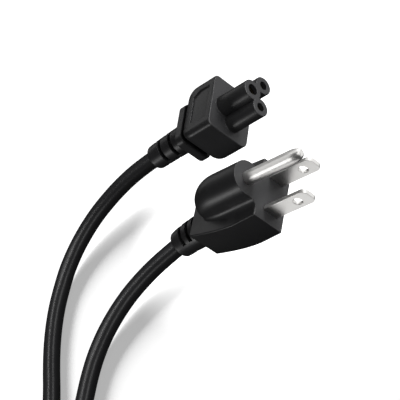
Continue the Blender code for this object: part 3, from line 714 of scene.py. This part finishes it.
def slot_mesh(start, length, turn, along, radius, angle, arc):
    """An arc-shaped cutter that opens one slot in a strain relief."""
    inner = radius - SLOT_DEPTH
    outer = radius + OVERSHOOT
    steps = 24
    angles = [angle - arc / 2 + arc * i / steps for i in range(steps + 1)]
    outline = [(outer * math.cos(a), outer * math.sin(a)) for a in angles]
    outline += [(inner * math.cos(a), inner * math.sin(a)) for a in reversed(angles)]
    ends = (along - SLOT_WIDTH / 2, along + SLOT_WIDTH / 2)
    return loft_mesh("slot", [boot_ring(start, length, turn, end, outline) for end in ends])


def slot_steps(boot, slots):
    """Boolean steps that open slots, each a distance along, an angle and an arc."""
    start, length, radius, end_radius, turn = boot
    steps = []
    for along, angle, arc in slots:
        size = radius + (end_radius - radius) * along / length
        steps.append(("DIFFERENCE", slot_mesh(start, length, turn, along, size, angle, arc)))
    return steps


def build_plug():
    """The plug's moulding: base, boss and slotted strain relief, open where the metal sits."""
    steps = [("UNION", boss_mesh()), ("UNION", boot_mesh("plug_boot", *PLUG_BOOT))]
    slots = []
    for i in range(PLUG_SLOTS):
        along = PLUG_SLOT_FIRST + i * PLUG_SLOT_PITCH
        slots += [(along, QUARTER, PLUG_SLOT_ARC), (along, 3 * QUARTER, PLUG_SLOT_ARC)]
    steps += slot_steps(PLUG_BOOT, slots)
    low = BLADE_HEIGHT_ABOVE_FLOOR - BLADE_WIDTH / 2 - PIN_FIT
    high = BLADE_HEIGHT_ABOVE_FLOOR + BLADE_WIDTH / 2 + PIN_FIT
    half = BLADE_THICKNESS / 2 + PIN_FIT
    for x in (-BLADE_SPACING / 2, BLADE_SPACING / 2):
        corners = [(x - half, low), (x + half, low), (x + half, high), (x - half, high)]
        pocket = [[(a, y, z) for a, z in corners] for y in (-PIN_ROOT - PIN_FIT, OVERSHOOT)]
        steps.append(("DIFFERENCE", loft_mesh("pocket", pocket)))
    radius = GROUND_PIN_RADIUS + PIN_FIT
    bore = [(-PIN_ROOT - PIN_FIT, radius), (OVERSHOOT, radius)]
    steps.append(("DIFFERENCE", lathe_mesh("bore", bore, z=GROUND_PIN_HEIGHT)))
    base = outline_mesh("plug_base", [plug_outline()], PLUG_THICKNESS, PLUG_EDGE_ROUND)
    mesh = carve("plug_moulding", base, steps)
    return place_piece("plug_moulding", mesh, PLUG_FRAME, BODY, "plug_body")


def build_blade(name, node, x):
    """A flat blade on edge with a hole and rounded corners, all its edges slightly rounded."""
    half = BLADE_WIDTH / 2
    corner = quarter_round(BLADE_TIP_ROUND, BLADE_TIP_STEPS)
    outline = [
        (-PIN_ROOT, -half),
        *[(BLADE_LENGTH - ahead, -half + inset) for ahead, inset in corner],
        *[(BLADE_LENGTH - ahead, half - inset) for ahead, inset in reversed(corner)],
        (-PIN_ROOT, half),
    ]
    hole = []
    for i in range(BLADE_HOLE_SIDES):
        angle = -2 * math.pi * i / BLADE_HOLE_SIDES
        out = BLADE_HOLE_OUT + BLADE_HOLE_RADIUS * math.cos(angle)
        hole.append((out, BLADE_HOLE_RADIUS * math.sin(angle)))
    mesh = outline_mesh(name, [outline, hole], BLADE_THICKNESS, BLADE_EDGE_ROUND, 2)
    on_edge = Matrix(((0, 0, 1), (1, 0, 0), (0, 1, 0))).to_4x4()
    stand = Matrix.Translation((x - BLADE_THICKNESS / 2, 0.0, BLADE_HEIGHT_ABOVE_FLOOR)) @ on_edge
    return place_piece(name, mesh, PLUG_FRAME @ stand, NICKEL, node)


def build_ground_pin():
    """A round pin with a rounded tip that ends in a small flat."""
    stations = [(-PIN_ROOT, GROUND_PIN_RADIUS)]
    steps = 14
    for i in range(steps + 1):
        angle = QUARTER * i / steps
        size = GROUND_PIN_TIP_FLAT + (1 - GROUND_PIN_TIP_FLAT) * math.cos(angle)
        ahead = GROUND_PIN_TIP * (1 - math.sin(angle))
        stations.append((GROUND_PIN_LENGTH - ahead, GROUND_PIN_RADIUS * size))
    mesh = lathe_mesh("pin_ground", stations, z=GROUND_PIN_HEIGHT)
    return place_piece("pin_ground", mesh, PLUG_FRAME, NICKEL, "ground_pin")


def panel_outline():
    """Plan of the recessed panel, parallel to the block's own outline."""
    half = PANEL_HALF_WIDTH
    cut = PANEL_CORNER_CUT * PANEL_CUT_SHARE
    return [
        (half, -PANEL_FRONT),
        (half, -PANEL_BACK + PANEL_CORNER_CUT),
        (half - cut, -PANEL_BACK),
        (-half + cut, -PANEL_BACK),
        (-half, -PANEL_BACK + PANEL_CORNER_CUT),
        (-half, -PANEL_FRONT),
    ]


def block_rings():
    """Sections of the block from its face back over the round shoulder and the neck."""
    radii = (BLOCK_TOP_ROUND, BLOCK_TOP_ROUND, BLOCK_BOTTOM_ROUND, BLOCK_BOTTOM_ROUND)
    rings = []
    for inset, back in quarter_round(BLOCK_EDGE_ROUND, 4):
        small = tuple(radius - inset for radius in radii)
        rings.append(rounded_rectangle(BLOCK_HALF_WIDTH - inset, BLOCK_HALF_HEIGHT - inset, small, -back))
    steps = 14
    for i in range(steps + 1):
        angle = QUARTER * i / steps
        depth = -BLOCK_STRAIGHT - (BLOCK_LENGTH - BLOCK_STRAIGHT) * math.sin(angle)
        width = BLOCK_TAIL_HALF_WIDTH + (BLOCK_HALF_WIDTH - BLOCK_TAIL_HALF_WIDTH) * math.cos(angle)
        height = BLOCK_TAIL_HALF_HEIGHT + (BLOCK_HALF_HEIGHT - BLOCK_TAIL_HALF_HEIGHT) * math.cos(angle)
        rings.append(rounded_rectangle(width, height, radii, depth))
    return rings


def collar_rings():
    """Sections of the neck behind the block's shoulder, then of the collar."""
    small = (COLLAR_CORNER - COLLAR_EDGE_ROUND,) * 4
    front = -BLOCK_LENGTH - NECK_LENGTH
    back = front - COLLAR_THICKNESS
    rings = [
        rounded_rectangle(NECK_HALF_WIDTH, NECK_HALF_HEIGHT, small, -BLOCK_LENGTH + SINK),
        rounded_rectangle(NECK_HALF_WIDTH, NECK_HALF_HEIGHT, small, front),
    ]
    edges = quarter_round(COLLAR_EDGE_ROUND, 4)
    sides = [(inset, front - ahead) for inset, ahead in edges]
    sides += [(inset, back + ahead) for inset, ahead in reversed(edges)]
    for inset, depth in sides:
        corner = (COLLAR_CORNER - inset,) * 4
        rings.append(rounded_rectangle(COLLAR_HALF_WIDTH - inset, COLLAR_HALF_HEIGHT - inset, corner, depth))
    return rings


def build_connector():
    """The connector's moulding: block, collar, slotted strain relief, and the nose with its holes."""
    steps = [("UNION", loft_mesh("collar", collar_rings())), ("UNION", boot_mesh("boot", *CONNECTOR_BOOT))]
    slots = []
    for i in range(BOOT_SLOT_PAIRS):
        along = BOOT_SLOT_FIRST + i * BOOT_SLOT_PITCH
        between = along + BOOT_SLOT_PITCH / 2
        for side in (0, 2):
            slots.append((along, BOOT_SLOT_ANGLE + side * QUARTER, BOOT_SLOT_ARC))
            slots.append((between, BOOT_SLOT_ANGLE + (side + 1) * QUARTER, BOOT_NOTCH_ARC))
    steps += slot_steps(CONNECTOR_BOOT, slots)
    half = LIVE_SPACING / 2
    poles = [
        (-half, -LIVE_DROP, LIVE_LOBE_RADIUS, LIVE_HOLE_RADIUS),
        (half, -LIVE_DROP, LIVE_LOBE_RADIUS, LIVE_HOLE_RADIUS),
        (0.0, EARTH_RISE, EARTH_LOBE_RADIUS, EARTH_HOLE_RADIUS),
    ]
    for x, z, radius, _ in poles:
        rounding = quarter_round(NOSE_EDGE_ROUND, 4)
        stations = [(-OVERSHOOT, radius), *[(NOSE_LENGTH - ahead, radius - drop) for ahead, drop in rounding]]
        steps.append(("UNION", lathe_mesh("lobe", stations, x=x, z=z)))
    web = [
        (-half, -LIVE_DROP + NOSE_WEB_RISE),
        (half, -LIVE_DROP + NOSE_WEB_RISE),
        (half * NOSE_WEB_TOP_SHARE, EARTH_RISE),
        (-half * NOSE_WEB_TOP_SHARE, EARTH_RISE),
    ]
    rings = [[(x, y, z) for x, z in web] for y in (-OVERSHOOT, NOSE_LENGTH - NOSE_WEB_SETBACK)]
    steps.append(("UNION", loft_mesh("web", rings)))
    panel = outline_mesh("panel", [panel_outline()], PANEL_DEPTH + OVERSHOOT)
    panel.transform(Matrix.Translation((0.0, 0.0, BLOCK_HALF_HEIGHT - PANEL_DEPTH)))
    steps.append(("DIFFERENCE", panel))
    for x, z, _, radius in poles:
        hole = [(NOSE_LENGTH - HOLE_DEPTH, radius), (NOSE_LENGTH + OVERSHOOT, radius)]
        steps.append(("DIFFERENCE", lathe_mesh("hole", hole, x=x, z=z)))
        end = NOSE_LENGTH - SLEEVE_SETBACK
        wide = radius + SLEEVE_WALL
        room = [(end - SLEEVE_LENGTH - SLEEVE_CLEARANCE, wide), (end + SLEEVE_CLEARANCE, wide)]
        steps.append(("DIFFERENCE", lathe_mesh("room", room, x=x, z=z)))
    mesh = carve("connector_moulding", loft_mesh("block", block_rings()), steps)
    return place_piece("connector_moulding", mesh, CONNECTOR_FRAME, BODY, "connector_body")


def dress_contacts():
    """Gives the three CAD sleeves their near-black brass, painted shade for their holes, and returns them."""
    contacts = [bpy.data.objects["contact_" + pole] for pole in POLES]
    for contact in contacts:
        for slot in contact.material_slots:
            slot.material = SLEEVE_PAINTED_SHADE
    return contacts


def collection_of(name, objects):
    """A collection outside the scene, for light linking."""
    group = bpy.data.collections.new(name)
    for obj in objects:
        group.objects.link(obj)
    return group


def build_floor():
    """A pale matt floor, bright enough to be white in the picture."""
    mesh = bpy.data.meshes.new("floor")
    half = FLOOR_HALF_SIZE
    corners = [(-half, -half, 0), (half, -half, 0), (half, half, 0), (-half, half, 0)]
    mesh.from_pydata(corners, [], [(0, 1, 2, 3)])
    floor = link(bpy.data.objects.new("floor", mesh))
    material, _, shader = new_material("floor_white")
    shader.inputs["Base Color"].default_value = (*FLOOR_COLOUR, 1.0)
    shader.inputs["Roughness"].default_value = FLOOR_ROUGHNESS
    shader.inputs["Specular IOR Level"].default_value = 0.0
    shader.inputs["Emission Color"].default_value = WHITE
    shader.inputs["Emission Strength"].default_value = FLOOR_GLOW
    mesh.materials.append(material)
    floor.visible_glossy = False
    floor.visible_diffuse = False
    floor.visible_shadow = False
    return floor


def area_light(name, place, aim, size, power, receivers):
    """A card that faces its aim and lights only its receivers."""
    light = bpy.data.lights.new(name, "AREA")
    light.shape = "RECTANGLE"
    light.size = size[0]
    light.size_y = size[1]
    light.energy = power
    obj = link(bpy.data.objects.new(name, light))
    obj.location = place
    heading = Vector(aim) - Vector(place)
    obj.rotation_euler = heading.to_track_quat("-Z", "Y").to_euler()
    obj.visible_camera = False
    obj.light_linking.receiver_collection = receivers
    return obj


def strip_light(name, start, end, brightness, receivers):
    """A narrow card between two directions seen from the middle of the cord's visible part."""
    aim = Vector(CORD_AIM)
    start = Vector(start)
    end = Vector(end)
    along = (end - start).normalized()
    middle = (start + end) / 2
    outward = (middle - along * middle.dot(along)).normalized()
    length = (end - start).length
    power = math.pi * length * CORD_STRIP_WIDTH * brightness
    obj = area_light(name, aim + middle, aim, (length, CORD_STRIP_WIDTH), power, receivers)
    turn = Matrix((along, outward.cross(along), outward)).transposed()
    obj.rotation_euler = turn.to_euler()


def build_light(floor, mouldings, metals, cord):
    """Cards that light each material by itself, and one key whose shadow is the cord's."""
    world = bpy.data.worlds.new("studio")
    world.use_nodes = True
    background = world.node_tree.nodes["Background"]
    background.inputs["Color"].default_value = WHITE
    background.inputs["Strength"].default_value = WORLD_STRENGTH
    bpy.context.scene.world = world
    on_cord = collection_of("lit_cord", [cord])
    groups = [
        (MOULDING_CARDS, MOULDING_AIM, collection_of("lit_mouldings", mouldings)),
        (METAL_CARDS, METAL_AIM, collection_of("lit_metals", metals)),
        (PIN_CARDS, METAL_AIM, collection_of("lit_pin", metals[-1:])),
        (CORD_CARDS, CORD_AIM, on_cord),
    ]
    for cards, aim, receivers in groups:
        for name, place, size, power in cards:
            area_light(name, place, aim, size, power, receivers)
    for name, start, end, brightness in CORD_STRIPS:
        strip_light(name, start, end, brightness, on_cord)
    name, place, size, power = FLOOR_KEY
    on_floor = collection_of("lit_floor", [floor])
    key = area_light(name, place, FLOOR_AIM, size, power, on_floor)
    key.light_linking.blocker_collection = collection_of("floor_shadow", [cord])
    spot = bpy.data.lights.new("floor_fill", "SPOT")
    spot.energy = FLOOR_FILL_POWER
    spot.spot_size = FLOOR_FILL_CONE
    spot.spot_blend = FLOOR_FILL_BLEND
    spot.use_shadow = False
    fill = link(bpy.data.objects.new("floor_fill", spot))
    fill.location = FLOOR_FILL_PLACE
    fill.light_linking.receiver_collection = on_floor


def build_view():
    """Plain tones, so the overexposed floor comes out white as in the photograph."""
    bpy.context.scene.view_settings.view_transform = "Standard"


def build_camera():
    """The camera that was fitted to the photograph."""
    camera = bpy.data.cameras.new("camera")
    camera.sensor_width = CAMERA_SENSOR
    camera.lens = CAMERA_LENS
    camera.clip_start = CAMERA_CLIP_START
    obj = link(bpy.data.objects.new("camera", camera))
    axes = Matrix((CAMERA_RIGHT, CAMERA_UP, CAMERA_BACK)).transposed().to_4x4()
    obj.matrix_world = Matrix.Translation(CAMERA_TARGET + CAMERA_BACK * CAMERA_DISTANCE) @ axes
    bpy.context.scene.camera = obj


build_view()
build_camera()
plug = build_plug()
connector = build_connector()
contacts = dress_contacts()
cord = build_cord()
blade_near = build_blade("blade_near", "blade_neutral", BLADE_SPACING / 2)
blade_far = build_blade("blade_far", "blade_line", -BLADE_SPACING / 2)
pin = build_ground_pin()
build_light(build_floor(), [plug, connector, *contacts], [blade_near, blade_far, pin], cord)
